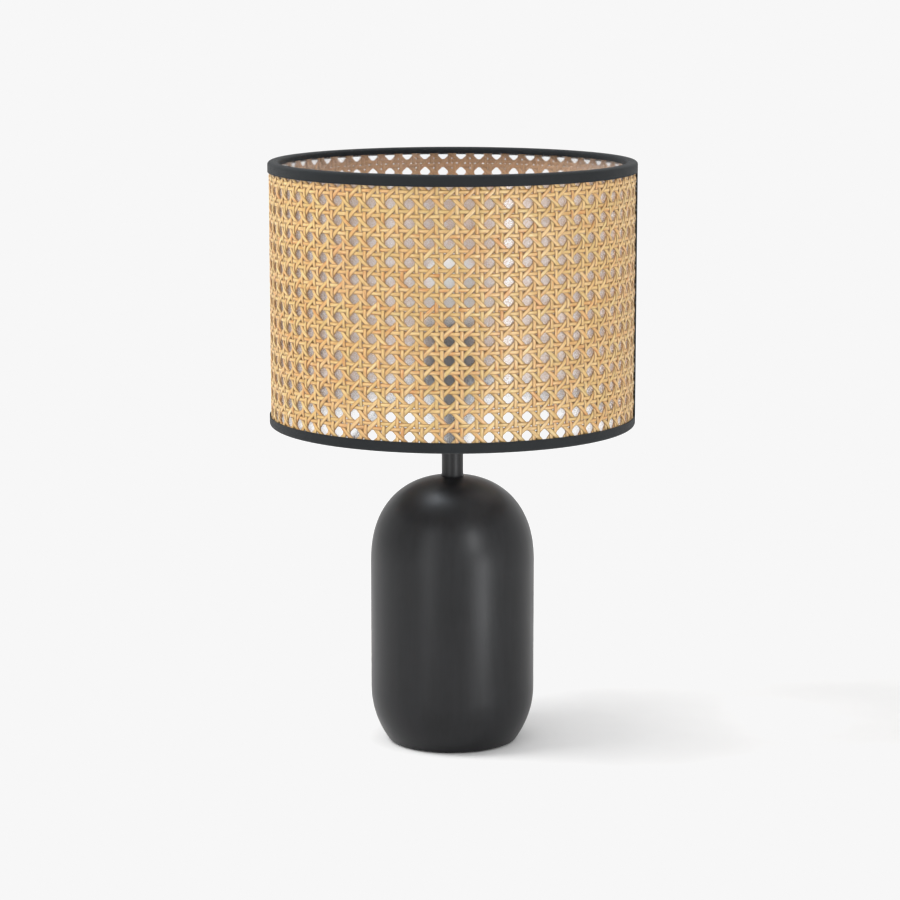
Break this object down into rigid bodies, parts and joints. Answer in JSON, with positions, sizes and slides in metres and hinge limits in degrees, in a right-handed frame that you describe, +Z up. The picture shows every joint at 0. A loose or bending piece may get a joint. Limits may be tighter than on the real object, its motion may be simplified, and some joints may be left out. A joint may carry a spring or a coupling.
{
  "type": "table lamp",
  "caption": "Table lamp with a rounded turned base, a slim neck and a drum shade of woven cane with dark bound edges, held on a ring fitter by a screw-on ring.",
  "frame": {"origin": "on the table, on the lamp's axis, under the middle of the felt", "axes": "+Z up along the neck; -Y is the front; +Y is the side where the cord leaves; +X is to the right, where the shade's seam is"},
  "size_m": [0.2504, 0.2504, 0.4052],
  "materials": {
    "black_lacquer": "satin black lacquer over turned wood",
    "felt": "black pressed felt",
    "zinc_steel": "bright zinc plate",
    "black_steel": "black powder coat",
    "black_plastic": "moulded black thermoset",
    "ceramic": "unglazed steatite",
    "brass": "pressed sheet",
    "nickel": "nickel plate",
    "white_plastic": "moulded white",
    "opal": "opal diffuser",
    "cane": "natural golden cane webbing",
    "clear_film": "clear film with a slight haze",
    "black_binding": "folded blue-black cloth binding"
  },
  "bodies": {
    "stand": {"base_body": "black_lacquer", "felt_pad": "felt", "bottom_washer": "zinc_steel", "bottom_nut": "zinc_steel", "threaded_rod": "zinc_steel", "cord_bush": "black_plastic", "neck_tube": "black_steel", "holder_cap": "black_plastic", "cap_lock_screw": "zinc_steel", "holder_barrel": "black_plastic", "contact_block": "ceramic", "socket_shell": "brass", "centre_contact": "brass", "shell_contact": "brass", "terminal_screw_live": "zinc_steel", "terminal_screw_neutral": "zinc_steel"},
    "shade": {"fitter_ring": "black_steel", "spider_arm_1": "black_steel", "spider_arm_2": "black_steel", "spider_arm_3": "black_steel", "bottom_rim_wire": "black_steel", "top_rim_wire": "black_steel", "film_liner": "clear_film", "cane_panel": "cane", "bottom_trim": "black_binding", "top_trim": "black_binding", "seam_tape": "black_binding"},
    "ring": {"retaining_ring": "black_plastic"},
    "bulb": {"bulb_tip": "ceramic", "bulb_screw_cap": "nickel", "bulb_collar": "white_plastic", "led_board": "white_plastic", "bulb_globe": "opal"}
  },
  "joints": [
    {"name": "shade_turn", "type": "hinge", "parent": "stand", "child": "shade", "pos_m": [0, 0, 0.2503], "axis": [0, 0, 1], "continuous": true},
    {"name": "ring_unscrew", "type": "slide", "parent": "stand", "child": "ring", "axis": [0, 0, 1], "range_m": [0, 0.038]},
    {"name": "bulb_unscrew", "type": "slide", "parent": "stand", "child": "bulb", "axis": [0, 0, 1], "range_m": [0, 0.14]}
  ]
}
